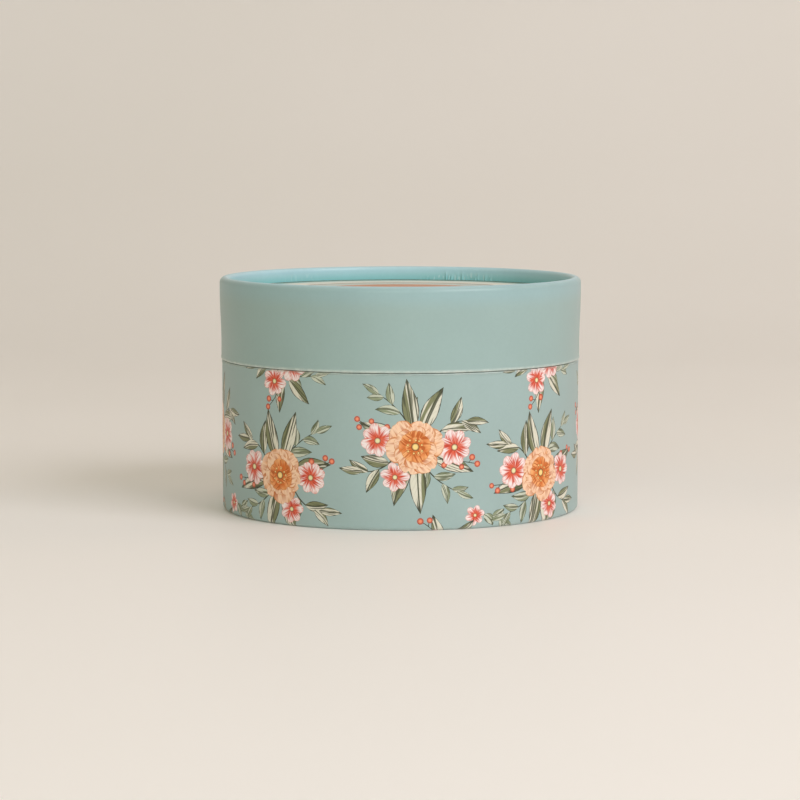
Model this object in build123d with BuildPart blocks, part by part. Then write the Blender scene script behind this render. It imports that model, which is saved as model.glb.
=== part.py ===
# Cylindrical gift box: two board tubes with rolled ends, wrapped in paper, and an inner neck.
# Lengths are in millimetres. The origin is the centre of the foot, +Z points up.
import os

from build123d import *

os.makedirs("parts", exist_ok=True)

# Driving sizes of the closed box
box_diameter = 100.0  # over the wrapping paper of the base
box_height = 65.0  # from the foot to the crest of the lid's rim
seam_height = 42.0  # where the lid meets the base

# Board and paper
tube_board = 1.0
disc_board = 1.5
paper = 0.2
wrapped_edge_rounding = 0.4  # where paper is drawn over a cut edge of board

# Rolled ends: the board turns inwards and back on itself
fold_slit = 0.2  # left open between the wall and the turned leg
foot_recess = 3.5  # from the foot up to the bottom's underside
foot_flat = 0.4  # width of the flat ring the box stands on
rim_recess = 4.0  # from the rim's crest down to the printed disc
rim_flat = 0.05  # the crest is all but round, and rounder outside than inside
rim_outer_rounding = 1.35

# The lid swells a little towards its rim, between these shares of the wall below its ceiling
rim_flare = 0.4
flare_start_share = 0.43
flare_end_share = 0.92

# Fits and turned-in papers
lid_fit = 0.2  # radial gap between the neck and the lid
disc_clearance = 0.1  # radial gap round the end discs
ceiling_gap = 3.1  # from the neck's edge up to the lid's ceiling
base_turn_in = 8.0  # base wrap inside its tube, below the seam

# Roundings of the rolled board, which share the width of the fold with its flat
fold_width = tube_board + fold_slit + tube_board
foot_rounding = (fold_width - foot_flat) / 2
rim_inner_rounding = fold_width - rim_flat - rim_outer_rounding

# Radii of the base, from the outside in
base_radius = box_diameter / 2
base_tube_outer = base_radius - paper
base_tube_inner = base_tube_outer - tube_board
base_leg_outer = base_tube_inner - fold_slit
base_leg_inner = base_leg_outer - tube_board
base_disc_radius = base_tube_inner - disc_clearance

# Radii of the neck: its paper lies against the base wrap's turned-in edge
neck_radius = base_tube_inner - paper
neck_tube_outer = neck_radius - paper
neck_tube_inner = neck_tube_outer - tube_board

# Radii of the lid, from the neck out, below the flare and at the rim
lid_bore = neck_radius + lid_fit
lid_tube_inner = lid_bore + paper
lid_tube_outer = lid_tube_inner + tube_board
rim_tube_inner = lid_tube_inner + rim_flare
rim_tube_outer = lid_tube_outer + rim_flare
rim_leg_outer = rim_tube_inner - fold_slit
rim_leg_inner = rim_leg_outer - tube_board
lid_disc_radius = rim_tube_inner - disc_clearance

# Heights of the base
foot_board_low = paper
foot_slit_end = foot_board_low + tube_board
base_disc_low = foot_recess + paper
base_floor_low = base_disc_low + disc_board
floor_height = base_floor_low + paper
base_board_top = seam_height - paper
base_turn_in_low = seam_height - base_turn_in

# Heights of the lid
lid_board_low = seam_height + paper
rim_board_high = box_height - paper
rim_slit_end = rim_board_high - tube_board
label_high = box_height - rim_recess
lid_disc_high = label_high - paper
lid_disc_low = lid_disc_high - disc_board
ceiling_low = lid_disc_low - paper
lid_wall = ceiling_low - lid_board_low
flare_low = lid_board_low + flare_start_share * lid_wall
flare_high = lid_board_low + flare_end_share * lid_wall
neck_board_top = ceiling_low - ceiling_gap - paper

# The base tube's outer skin, from the top edge's inside to the end of the leg rolled in at the foot
base_skin = [
    (base_tube_inner, base_board_top),
    (base_tube_outer, base_board_top),
    (base_tube_outer, foot_board_low),
    (base_leg_inner, foot_board_low),
    (base_leg_inner, foot_recess),
]
base_skin_roundings = [0, 0, foot_rounding, foot_rounding]

# The lid tube's outer skin, from the lower edge's inside to the end of the leg rolled in at the rim
lid_skin = [
    (lid_tube_inner, lid_board_low),
    (lid_tube_outer, lid_board_low),
    (lid_tube_outer, flare_low),
    (rim_tube_outer, flare_high),
    (rim_tube_outer, rim_board_high),
    (rim_leg_inner, rim_board_high),
    (rim_leg_inner, label_high),
]
lid_skin_roundings = [0, 0, 0, 0, rim_outer_rounding, rim_inner_rounding]

# The lid tube's inner face, from the end of the turned-in wrap, where the flare starts, to the ceiling
lid_inner_face = [
    (lid_tube_inner, flare_low),
    (rim_tube_inner, flare_high),
    (rim_tube_inner, ceiling_low),
]


# A sheet of paper lying on one side of a path, as a closed profile
def paper_profile(points, roundings, side):
    with BuildSketch(Plane.XZ) as profile:
        with BuildLine():
            FilletPolyline(points, radius=roundings)
            offset(amount=paper, side=side, kind=Kind.INTERSECTION)
        make_face()
    return profile.sketch


# Base tube: upright wall, rolled in at the foot with a slit left behind the turned leg
with BuildPart() as base_tube:
    with BuildSketch(Plane.XZ):
        with BuildLine():
            FilletPolyline(
                *base_skin,
                (base_leg_outer, foot_recess),
                (base_leg_outer, foot_slit_end),
                (base_tube_inner, foot_slit_end),
                radius=[*base_skin_roundings, 0, 0, 0, 0],
                close=True,
            )
        make_face()
    revolve(axis=Axis.Z)

# Base wrap: turned in over the top edge, down the wall, round the foot and up the turned leg
with BuildPart() as base_wrap:
    base_wrap_path = [(base_tube_inner, base_turn_in_low), *base_skin]
    add(paper_profile(base_wrap_path, base_skin_roundings, Side.LEFT))
    revolve(axis=Axis.Z)
    top_edges = base_wrap.edges().group_by(Axis.Z)[-1]
    fillet(top_edges.sort_by(SortBy.RADIUS)[-1], radius=wrapped_edge_rounding)

# Bottom: paper, board and floor paper, held between the turned leg and the neck
with BuildPart() as base_underside_paper:
    with BuildSketch(Plane.XY.offset(foot_recess)):
        Circle(base_disc_radius)
    extrude(amount=paper)

with BuildPart() as base_disc:
    with BuildSketch(Plane.XY.offset(base_disc_low)):
        Circle(base_disc_radius)
    extrude(amount=disc_board)

with BuildPart() as base_floor_paper:
    with BuildSketch(Plane.XY.offset(base_floor_low)):
        Circle(base_disc_radius)
    extrude(amount=paper)

# Neck: stands on the floor inside the base and rises above the seam to carry the lid
neck_skin = [
    (neck_tube_outer, floor_height),
    (neck_tube_outer, neck_board_top),
    (neck_tube_inner, neck_board_top),
    (neck_tube_inner, floor_height),
]

with BuildPart() as neck_tube:
    with BuildSketch(Plane.XZ):
        with BuildLine():
            Polyline(*neck_skin, close=True)
        make_face()
    revolve(axis=Axis.Z)

# Neck paper: up the outside, over the edge and down to the floor as the inside lining
with BuildPart() as neck_paper:
    add(paper_profile(neck_skin, [0, 0], Side.RIGHT))
    revolve(axis=Axis.Z)
    top_edges = neck_paper.edges().group_by(Axis.Z)[-1]
    fillet(top_edges.sort_by(SortBy.RADIUS)[-1], radius=wrapped_edge_rounding)

# Lid tube: flares a little, then rolls in at the rim with a slit left behind the turned leg
with BuildPart() as lid_tube:
    with BuildSketch(Plane.XZ):
        with BuildLine():
            FilletPolyline(
                *lid_skin,
                (rim_leg_outer, label_high),
                (rim_leg_outer, rim_slit_end),
                (rim_tube_inner, rim_slit_end),
                (rim_tube_inner, flare_high),
                (lid_tube_inner, flare_low),
                radius=[*lid_skin_roundings, 0, 0, 0, 0, 0, 0],
                close=True,
            )
        make_face()
    revolve(axis=Axis.Z)

# Lid wrap: turned in over the lower edge, up the wall, round the rim and down to the printed disc
with BuildPart() as lid_wrap:
    lid_wrap_path = [(lid_tube_inner, flare_low), *lid_skin]
    add(paper_profile(lid_wrap_path, lid_skin_roundings, Side.RIGHT))
    revolve(axis=Axis.Z)
    lower_edges = lid_wrap.edges().group_by(Axis.Z)[0]
    fillet(lower_edges.sort_by(SortBy.RADIUS)[-1], radius=wrapped_edge_rounding)

# Lid lining: from the turned-in wrap up to the ceiling, whose edge it carries
with BuildPart() as lid_lining:
    add(paper_profile(lid_inner_face, [0], Side.LEFT))
    revolve(axis=Axis.Z)

# Top: ceiling paper, board and printed disc, held between the lining and the turned leg
with BuildPart() as lid_ceiling_paper:
    with BuildSketch(Plane.XY.offset(ceiling_low)):
        Circle(lid_disc_radius)
    extrude(amount=paper)

with BuildPart() as lid_disc:
    with BuildSketch(Plane.XY.offset(lid_disc_low)):
        Circle(lid_disc_radius)
    extrude(amount=disc_board)

with BuildPart() as lid_label:
    with BuildSketch(Plane.XY.offset(lid_disc_high)):
        Circle(lid_disc_radius)
    extrude(amount=paper)

# One STEP file for each piece
base_tube.part.label = "base_tube"
base_wrap.part.label = "base_wrap"
base_underside_paper.part.label = "base_underside_paper"
base_disc.part.label = "base_disc"
base_floor_paper.part.label = "base_floor_paper"
neck_tube.part.label = "neck_tube"
neck_paper.part.label = "neck_paper"
lid_tube.part.label = "lid_tube"
lid_wrap.part.label = "lid_wrap"
lid_lining.part.label = "lid_lining"
lid_ceiling_paper.part.label = "lid_ceiling_paper"
lid_disc.part.label = "lid_disc"
lid_label.part.label = "lid_label"

export_step(base_tube.part, "parts/base_tube.step")
export_step(base_wrap.part, "parts/base_wrap.step")
export_step(base_underside_paper.part, "parts/base_underside_paper.step")
export_step(base_disc.part, "parts/base_disc.step")
export_step(base_floor_paper.part, "parts/base_floor_paper.step")
export_step(neck_tube.part, "parts/neck_tube.step")
export_step(neck_paper.part, "parts/neck_paper.step")
export_step(lid_tube.part, "parts/lid_tube.step")
export_step(lid_wrap.part, "parts/lid_wrap.step")
export_step(lid_lining.part, "parts/lid_lining.step")
export_step(lid_ceiling_paper.part, "parts/lid_ceiling_paper.step")
export_step(lid_disc.part, "parts/lid_disc.step")
export_step(lid_label.part, "parts/lid_label.step")
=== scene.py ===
import math
import random

import bpy
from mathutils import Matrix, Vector
from mathutils.geometry import delaunay_2d_cdt


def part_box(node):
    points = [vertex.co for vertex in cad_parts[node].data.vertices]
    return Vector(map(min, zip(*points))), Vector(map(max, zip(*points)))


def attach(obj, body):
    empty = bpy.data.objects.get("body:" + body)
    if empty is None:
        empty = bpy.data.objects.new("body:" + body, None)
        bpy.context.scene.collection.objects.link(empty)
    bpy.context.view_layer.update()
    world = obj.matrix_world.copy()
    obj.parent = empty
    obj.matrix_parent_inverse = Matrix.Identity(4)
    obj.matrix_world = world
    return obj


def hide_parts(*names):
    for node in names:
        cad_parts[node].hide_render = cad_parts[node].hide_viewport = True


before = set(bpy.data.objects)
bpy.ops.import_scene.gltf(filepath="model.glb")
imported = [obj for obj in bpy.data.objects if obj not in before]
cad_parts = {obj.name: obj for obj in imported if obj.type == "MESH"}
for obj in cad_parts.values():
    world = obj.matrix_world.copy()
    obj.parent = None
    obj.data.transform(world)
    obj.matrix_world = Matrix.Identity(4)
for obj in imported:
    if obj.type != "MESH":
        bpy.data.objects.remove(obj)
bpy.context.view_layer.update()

mm = 0.001

# Sizes read from the frame, in metres
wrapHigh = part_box("base_wrap")[1]
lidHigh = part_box("lid_wrap")[1]
neckLow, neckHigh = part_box("neck_paper")
labelLow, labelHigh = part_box("lid_label")
liningLow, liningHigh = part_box("lid_lining")
paperThickness = labelHigh[2] - labelLow[2]
lidWallLow = wrapHigh[2] + paperThickness
flareEndShare = 0.92  # of the lid's wall below its ceiling

giftBox = {
    "baseRadius": wrapHigh[0],
    "seam": wrapHigh[2],
    "rimRadius": lidHigh[0],
    "crest": lidHigh[2],
    "paper": paperThickness,
    "seamGap": 0.09 * mm,
    "edgeRounding": 0.4 * mm,  # where paper is drawn over a cut edge of board
    "edgeSwell": 0.1 * mm,
    "swellHeight": 0.5 * mm,
    "swellRounding": 1.5 * mm,
    "turnRounding": 0.15 * mm,
    "foldWidth": 2.6 * mm,
    "rimFlare": 0.4 * mm,
    "footRecess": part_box("base_underside_paper")[0][2],
    "rimRecess": labelHigh[2],
    "neckRadius": neckHigh[0],
    "neckTop": neckHigh[2],
    "floor": neckLow[2],
    "ceiling": liningHigh[2],
    "flareLow": liningLow[2],
    "flareHigh": lidWallLow + flareEndShare * (liningHigh[2] - lidWallLow),
}


def smooth(share):
    share = min(max(share, 0.0), 1.0)
    return share * share * (3 - 2 * share)


# Corners as (radius, height), rounded off, each point with its normal on the paper's outer side
def roundedPath(corners, roundings, arcSteps):
    corners = [Vector(corner) for corner in corners]
    ways = [(after - before).normalized() for before, after in zip(corners, corners[1:])]
    path = [(*corners[0], ways[0].y, -ways[0].x)]
    for here, before, after, rounding in zip(corners[1:], ways, ways[1:], roundings):
        if rounding == 0:
            path += [(*here, before.y, -before.x), (*here, after.y, -after.x)]
            continue
        turn = math.atan2(before.x * after.y - before.y * after.x, before.dot(after))
        side = math.copysign(1, turn)
        inward = Vector((-before.y, before.x)) * side
        centre = here - before * (rounding * math.tan(abs(turn) / 2)) + inward * rounding
        outward = -inward
        steps = max(1, round(arcSteps * abs(turn) / (math.pi / 2)))
        for step in range(steps + 1):
            cosine, sine = math.cos(turn * step / steps), math.sin(turn * step / steps)
            spoke = Vector((outward.x * cosine - outward.y * sine, outward.x * sine + outward.y * cosine))
            path.append((*(centre + spoke * rounding), *(spoke * side)))
    path.append((*corners[-1], ways[-1].y, -ways[-1].x))
    return path


def feed(tree, socket, value):
    if isinstance(value, bpy.types.NodeSocket):
        tree.links.new(value, socket)
    else:
        socket.default_value = value


def feedAll(tree, node, values):
    for name, value in values.items():
        feed(tree, node.inputs[name], value)


def addNode(tree, kind, values=(), **settings):
    node = tree.nodes.new(kind)
    for name, value in settings.items():
        setattr(node, name, value)
    feedAll(tree, node, dict(values))
    return node


def maths(tree, operation, *values, clamp=False):
    node = addNode(tree, "ShaderNodeMath", enumerate(values), operation=operation, use_clamp=clamp)
    return node.outputs[0]


def plus(tree, total, *others):
    for other in others:
        total = maths(tree, "ADD", total, other)
    return total


def minus(tree, first, second):
    return maths(tree, "SUBTRACT", first, second)


def times(tree, product, *others):
    for other in others:
        product = maths(tree, "MULTIPLY", product, other)
    return product


def reachOf(tree, x, y):
    return maths(tree, "SQRT", plus(tree, times(tree, x, x), times(tree, y, y)))


def blendColour(tree, factor, under, over):
    return addNode(tree, "ShaderNodeMix", {0: factor, 6: under, 7: over}, data_type="RGBA").outputs[2]


def ramp(tree, value, low, high, toLow=0.0, toHigh=1.0):
    values = enumerate((value, low, high, toLow, toHigh))
    return addNode(tree, "ShaderNodeMapRange", values, interpolation_type="SMOOTHSTEP").outputs[0]


def noiseOf(tree, vector, scale, detail=2.0, roughness=0.5):
    values = {"Vector": vector, "Scale": scale, "Detail": detail, "Roughness": roughness}
    return addNode(tree, "ShaderNodeTexNoise", values).outputs[0]


def combine(tree, *parts):
    return addNode(tree, "ShaderNodeCombineXYZ", enumerate(parts)).outputs[0]


def separate(tree, vector):
    return addNode(tree, "ShaderNodeSeparateXYZ", {0: vector}).outputs[:]


# A paint-chart colour, 0 to 255 a channel, as the shader wants it
def paint(*chart):
    shares = [channel / 255 for channel in chart]
    linear = [share / 12.92 if share <= 0.04045 else ((share + 0.055) / 1.055) ** 2.4 for share in shares]
    return (*linear, 1.0)


# A node group whose sockets are numbers, colours, or places where no starting value is given
def newGroup(name, inputs, outputs):
    kinds = {float: "NodeSocketFloat", tuple: "NodeSocketColor", type(None): "NodeSocketVector"}
    group = bpy.data.node_groups.new(name, "ShaderNodeTree")
    for label, start in inputs.items():
        socket = group.interface.new_socket(label, in_out="INPUT", socket_type=kinds[type(start)])
        if start is not None:
            socket.default_value = start
    for label, kind in outputs.items():
        group.interface.new_socket(label, in_out="OUTPUT", socket_type=kinds[kind])
    return group, group.nodes.new("NodeGroupInput").outputs, group.nodes.new("NodeGroupOutput").inputs


def useGroup(tree, group, **values):
    return addNode(tree, "ShaderNodeGroup", values, node_tree=group).outputs


print("stage: helpers ready")

# Paper: fine fibres and a slight cloudiness in tone and gloss, shared by every paper on the box
paperNoises = {  # scale, detail, roughness
    "fine": (2600.0, 3.0, 0.6),
    "fibres": (900.0, 4.0, 0.7),
    "cloud": (55.0, 3.0, 0.55),
}


def makePaperGrain():
    group, given, result = newGroup(
        "paperGrain",
        {"Place": None, "Amount": 0.2, "Roughness": 0.43, "Unevenness": 0.36},
        {"Brightness": float, "Roughness": float, "Height": float},
    )
    fine, fibres, cloud = (noiseOf(group, given["Place"], *noise) for noise in paperNoises.values())
    cloudy = times(group, minus(group, cloud, 0.5), 0.6)
    tone = plus(group, cloudy, times(group, minus(group, fibres, 0.5), 0.4))
    roughness = maths(group, "MULTIPLY_ADD", tone, given["Unevenness"], given["Roughness"])
    feed(group, result["Brightness"], maths(group, "MULTIPLY_ADD", tone, given["Amount"], 1.0))
    feed(group, result["Roughness"], roughness)
    feed(group, result["Height"], plus(group, times(group, fine, 0.35), times(group, fibres, 0.65)))
    return group


# Rubbed edges: where the paper is drawn over an edge its print wears thin and the pale core shows; along the
# seam the same pale edge is also a painted highlight
wornPatches = {"noise": (420.0, 4.0, 0.65), "edge": (0.42, 0.66)}


def makeRubbedEdge():
    group, given, result = newGroup(
        "rubbedEdgeAndHighlight", {"Place": None, "Level": 0.0, "Width": 0.6 * mm, "Amount": 0.5}, {"Mask": float})
    _, _, height = separate(group, given["Place"])
    away = maths(group, "ABSOLUTE", minus(group, height, given["Level"]))
    near = maths(group, "SUBTRACT", 1.0, maths(group, "DIVIDE", away, given["Width"]), clamp=True)
    patches = ramp(group, noiseOf(group, given["Place"], *wornPatches["noise"]), *wornPatches["edge"])
    spread = plus(group, times(group, patches, 0.5), 0.5)
    worn = maths(group, "MULTIPLY", times(group, near, spread), given["Amount"], clamp=True)
    feed(group, result["Mask"], worn)
    return group


# Painted shapes: the share along at which a petal or leaf is fullest, and how blunt its ends are, as powers
outlines = {"bloom": (1.6, 0.6), "core": (1.6, 0.6), "daisy": (1.45, 0.5), "leaf": (0.8, 1.0),
            "greenery": (0.8, 1.0)}
white = (1.0, 1.0, 1.0, 1.0)


# Half-width of a petal or leaf along its length, as the artwork's outlines have it
def halfWidth(group, along, fullness, bluntness):
    inside = maths(group, "MINIMUM", maths(group, "MAXIMUM", along, 0.001), 0.999)
    swing = maths(group, "SINE", times(group, maths(group, "POWER", inside, fullness), math.pi))
    return maths(group, "POWER", maths(group, "MAXIMUM", swing, 0.0005), bluntness)


# Brush marks drawn out along a petal or leaf, other ones for each seed
def brushMarks(group, given, stretch, *noise):
    place = combine(group, *(times(group, given[name], number)
                             for name, number in zip(("Along", "Across", "Seed"), stretch)))
    return noiseOf(group, place, *(noise or (1.0, 1.0, 0.4)))


# A painted petal: warm at its foot with brushed strokes, pale towards its tip, inked at its edge
petalBrush = {
    "wash": (0.8, 2.4, 41.0),
    "strokes": (0.7, 5.0, 73.0),
    "washSpread": 0.9,
    "heartStart": 0.35,
    "strokeFade": (0.6, 1.45),
    "tips": (0.72, 0.98),
    "outline": (0.83, 0.94),
    "outlineWander": 0.12,
    "outlineStrength": 0.8,
}


def makePetalInk():
    numbers = {"Along": 0.0, "Across": 0.0, "Seed": 0.0, "Fullness": 1.7, "Bluntness": 0.6, "Reach": 0.6}
    colours = {"Tip": white, "Heart": white, "Stroke": white, "Edge": white}
    group, given, result = newGroup("petalInk", {**numbers, **colours}, {"Colour": tuple})
    brush = petalBrush
    along, reach = given["Along"], given["Reach"]
    wander = minus(group, brushMarks(group, given, brush["wash"]), 0.5)
    warm = ramp(group, plus(group, along, times(group, wander, brush["washSpread"])),
                times(group, reach, brush["heartStart"]), reach)
    body = blendColour(group, warm, given["Heart"], given["Tip"])
    fine = brushMarks(group, given, brush["strokes"])
    fadeStart, fadeEnd = (times(group, reach, share) for share in brush["strokeFade"])
    strokes = times(group, ramp(group, fine, 0.5, 0.58), ramp(group, along, fadeStart, fadeEnd, 1.0, 0.0))
    body = blendColour(group, strokes, body, given["Stroke"])
    tips = ramp(group, along, *brush["tips"], 0.0, 0.75)
    body = blendColour(group, times(group, ramp(group, fine, 0.46, 0.4), tips), body, given["Edge"])
    width = halfWidth(group, along, given["Fullness"], given["Bluntness"])
    rim = maths(group, "DIVIDE", maths(group, "ABSOLUTE", given["Across"]), width)
    rim = maths(group, "MAXIMUM", rim, ramp(group, along, 0.9, 1.0, 0.6, 1.02))
    line = ramp(group, plus(group, rim, times(group, wander, brush["outlineWander"])), *brush["outline"])
    line = times(group, line, brush["outlineStrength"])
    feed(group, result["Colour"], blendColour(group, line, body, given["Edge"]))
    return group


# A painted leaf: one half in shade, side veins, a dark midrib and outline
leafBrush = {
    "wash": (0.9, 2.2, 23.0),
    "sweeps": (1.2, 3.8, 59.0),
    "wobble": (2.5, 2.0, 37.0),
    "veins": 6.5,
    "veinSlant": 1.9,
    "veinStrength": 0.14,
    "midrib": (0.05, 0.11),
    "darkTip": (0.8, 0.96),
    "outline": (0.84, 0.95),
}


def makeLeafInk():
    numbers = {"Along": 0.0, "Across": 0.0, "Seed": 0.0}
    colours = {"Light": white, "Shade": white, "Vein": white, "Edge": white}
    group, given, result = newGroup("leafInk", {**numbers, **colours}, {"Colour": tuple})
    brush = leafBrush
    along, across = given["Along"], given["Across"]
    half = maths(group, "ABSOLUTE", across)
    wobble = minus(group, brushMarks(group, given, brush["wobble"], 1.8), 0.5)
    wash = times(group, minus(group, brushMarks(group, given, brush["wash"]), 0.5), 2.2)
    shaded = ramp(group, plus(group, times(group, across, 0.6), wash), 0.0, 0.26)
    body = blendColour(group, shaded, given["Light"], given["Shade"])
    march = minus(group, times(group, along, brush["veins"]), times(group, half, brush["veinSlant"]))
    march = maths(group, "FRACT", plus(group, march, 8.0, times(group, wobble, 0.5)))
    crest = times(group, maths(group, "ABSOLUTE", minus(group, march, 0.5)), 2.0)
    veins = times(group, ramp(group, crest, 0.66, 0.9), ramp(group, half, 0.02, 0.95, 1.0, 0.35))
    body = blendColour(group, times(group, veins, brush["veinStrength"]), body, given["Vein"])
    sweeps = ramp(group, brushMarks(group, given, brush["sweeps"]), 0.54, 0.62, 0.0, 0.9)
    body = blendColour(group, sweeps, body, given["Vein"])
    tipped = ramp(group, plus(group, along, times(group, wobble, 0.3)), *brush["darkTip"])
    body = blendColour(group, tipped, body, given["Edge"])
    body = blendColour(group, ramp(group, half, *brush["midrib"], 1.0, 0.0), body, given["Vein"])
    rim = maths(group, "DIVIDE", half, halfWidth(group, along, *outlines["leaf"]))
    line = ramp(group, plus(group, rim, times(group, wobble, 0.25)), *brush["outline"])
    feed(group, result["Colour"], blendColour(group, line, body, given["Edge"]))
    return group


paperGrain = makePaperGrain()
rubbedEdgeAndHighlight = makeRubbedEdge()
petalInk = makePetalInk()
leafInk = makeLeafInk()
print("stage: shared finishes ready")

# Artwork of the base: painted shapes on the flat sheet, in millimetres, later ones over earlier ones
artwork = []
inkNames = ("ground", "stem", "leaf", "greenery", "bloom", "core", "daisy", "heart", "eye", "berry")
inks = {name: number for number, name in enumerate(inkNames)}

flora = {
    "bloomRings": (  # petals, reach, breadth
        (6, 1.04, 0.49),
        (6, 0.8, 0.42),
        (5, 0.57, 0.33),
        (3, 0.34, 0.22),
    ),
    "petalNotch": 0.09,
    "stamens": 9,
    "stamenRadius": 0.34,
    "stamenReach": (0.23, 0.3),
    "heartShare": 0.15,
    "daisyBreadth": 0.33,
    "eyeShare": 0.2,
    "leafSpread": 0.95,
    "stemThick": 0.42,
    "stemThin": 0.2,
    "berryRadius": 0.85,
    "berryStalk": 1.5,
}

# Sprays, each about its own middle: branches as start, bend, end, leaves, leaf length, leaf width and ink,
# a fan of leaves as angles, reach, length and width, berries as start, bend, end and count,
# daisies as place, radius and petals, and the radius of the bloom on top
sprays = {
    "garland": {
        "branches": (
            ((-5, -1), (-10, -5.5), (-15, -4), 3, 9.6, 1.9, "leaf"),
            ((5, 1), (10, 5.5), (15, 4), 3, 9.6, 1.9, "leaf"),
            ((0, 4), (-2, 11), (-7, 15.5), 4, 7.6, 1.6, "greenery"),
            ((1, -4), (3, -10), (9, -14), 4, 7.4, 1.5, "greenery"),
        ),
        "fan": ((0.95, 1.5, 2.55, 4.15, 4.65, 5.7), 4.5, 13.0, 2.3),
        "berries": (((-4, 4), (-10, 6), (-14, 10), 5), ((4, -4), (10, -5.5), (16, -8), 5)),
        "daisies": (((10.4, -2.2), 4.9, 8), ((-9.6, 3.4), 4.6, 8), ((-6.8, -7.0), 3.9, 7)),
        "bloom": 7.6,
    },
    "posy": {
        "branches": (
            ((0, 0), (-5, 4), (-10, 4), 3, 7.6, 1.6, "leaf"),
            ((0, 0), (5, -3), (10, -3), 3, 7.2, 1.5, "greenery"),
        ),
        "fan": ((1.0, 2.3, 4.3, 5.3), 2.5, 9.0, 1.7),
        "berries": (((0, 1), (2, 7), (7, 9), 4), ((-1, -1), (-3, -6), (-8, -8), 4)),
        "daisies": (((-3.8, -1.8), 4.1, 7), ((3.2, 1.4), 5.0, 8)),
    },
    "sprig": {
        "branches": (((-4.5, 0), (0, 1.6), (4.5, 0.4), 3, 5.0, 1.5, "greenery"),),
        "daisies": (((-4.6, -0.2), 2.8, 6),),
    },
}


def addShape(ink, outline, origin, angle, length, width, bend, seed):
    way = Vector((math.cos(angle), math.sin(angle)))
    side = Vector((-way.y, way.x))
    points = [Vector(origin) + way * (along * length) + side * (across * width) for along, across in outline]
    artwork.append({
        "ink": inks[ink], "points": points, "origin": Vector(origin), "way": way, "side": side,
        "length": length, "width": width, "bend": bend, "seed": seed,
    })


def addPetal(ink, origin, angle, length, width, bend, seed, steps=11, notch=0.0):
    fullness, bluntness = outlines[ink]
    near, far = [], []
    for step in range(1, steps):
        along = (1 - math.cos(math.pi * step / steps)) / 2
        half = math.sin(math.pi * along ** fullness) ** bluntness
        middle = bend * 4 * along * (1 - along)
        near.append((along, middle - half))
        far.append((along, middle + half))
    outline = [(0, 0), *near, (1 - notch, 0), *reversed(far)]
    addShape(ink, outline, origin, angle, length, width, bend, seed)


def addDisc(ink, centre, radius, angle, seed, steps=12):
    turns = [math.tau * step / steps for step in range(steps)]
    outline = [(math.cos(turn), math.sin(turn)) for turn in turns]
    addShape(ink, outline, centre, angle, radius, radius, 0.0, seed)


def curvePoint(start, control, end, t):
    return start * (1 - t) ** 2 + control * 2 * t * (1 - t) + end * t ** 2


def curveWay(start, control, end, t):
    return ((control - start) * (1 - t) + (end - control) * t).normalized()


def addStem(start, control, end, thick, thin, seed, steps=8):
    way = (end - start).normalized()
    side = Vector((-way.y, way.x))
    length = (end - start).length
    near, far = [], []
    for step in range(steps + 1):
        t = step / steps
        point = curvePoint(start, control, end, t)
        tangent = curveWay(start, control, end, t)
        across = Vector((-tangent.y, tangent.x)) * ((thick * (1 - t) + thin * t) / 2)
        for row, edge in ((near, point - across), (far, point + across)):
            offset = edge - start
            row.append((offset.dot(way) / length, offset.dot(side) / thick))
    addShape("stem", [*near, *reversed(far)], start, math.atan2(way.y, way.x), length, thick, 0.0, seed)


def addBloom(centre, radius, turn, draw):
    for ring, (count, reach, breadth) in enumerate(flora["bloomRings"]):
        for petal in range(count):
            angle = turn + math.tau * (petal + 0.5 * ring) / count + draw.uniform(-0.1, 0.1)
            length = radius * reach * draw.uniform(0.9, 1.06)
            width = radius * breadth * draw.uniform(0.92, 1.08)
            addPetal("bloom" if ring < 2 else "core", centre, angle, length, width,
                     draw.uniform(-0.22, 0.22), draw.random(), 12,
                     flora["petalNotch"] * draw.uniform(0.4, 1.3))
    for stamen in range(flora["stamens"]):
        angle = turn + math.tau * stamen / flora["stamens"] + draw.uniform(-0.15, 0.15)
        reach = radius * draw.uniform(*flora["stamenReach"])
        spot = centre + Vector((math.cos(angle), math.sin(angle))) * reach
        addDisc("heart", spot, flora["stamenRadius"], angle, draw.random(), 8)
    addDisc("heart", centre, radius * flora["heartShare"], turn, draw.random())


def addDaisy(centre, radius, petals, draw):
    turn = draw.uniform(0, 1)
    for petal in range(petals):
        angle = turn + math.tau * petal / petals + draw.uniform(-0.08, 0.08)
        addPetal("daisy", centre, angle, radius * draw.uniform(0.92, 1.06), radius * flora["daisyBreadth"],
                 draw.uniform(-0.18, 0.18), draw.random(), 9)
    addDisc("eye", centre, radius * flora["eyeShare"], turn, draw.random())


def addBranch(start, control, end, leaves, leafLength, leafWidth, ink, draw):
    addStem(start, control, end, flora["stemThick"], flora["stemThin"], draw.random())
    for leaf in range(leaves):
        t = (leaf + 0.9) / (leaves + 0.4)
        side = 1 if leaf % 2 else -1
        way = curveWay(start, control, end, t)
        shrink = 1 - 0.38 * t
        spread = side * flora["leafSpread"] * draw.uniform(0.8, 1.1) * (1 - 0.35 * t)
        addPetal(ink, curvePoint(start, control, end, t), math.atan2(way.y, way.x) + spread,
                 leafLength * shrink * draw.uniform(0.9, 1.1), leafWidth * shrink,
                 -side * draw.uniform(0.1, 0.4), draw.random(), 10)
    way = curveWay(start, control, end, 1)
    addPetal(ink, end, math.atan2(way.y, way.x), leafLength * 0.7, leafWidth * 0.62,
             draw.uniform(-0.2, 0.2), draw.random(), 10)


def addFan(put, angles, reach, length, width, turn, flip, draw):
    for angle in angles:
        start = put(reach * math.cos(angle), reach * math.sin(angle))
        addPetal("leaf", start, turn + angle * flip + draw.uniform(-0.06, 0.06),
                 length * draw.uniform(0.9, 1.08), width, draw.uniform(-0.35, 0.35), draw.random(), 12)


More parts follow.
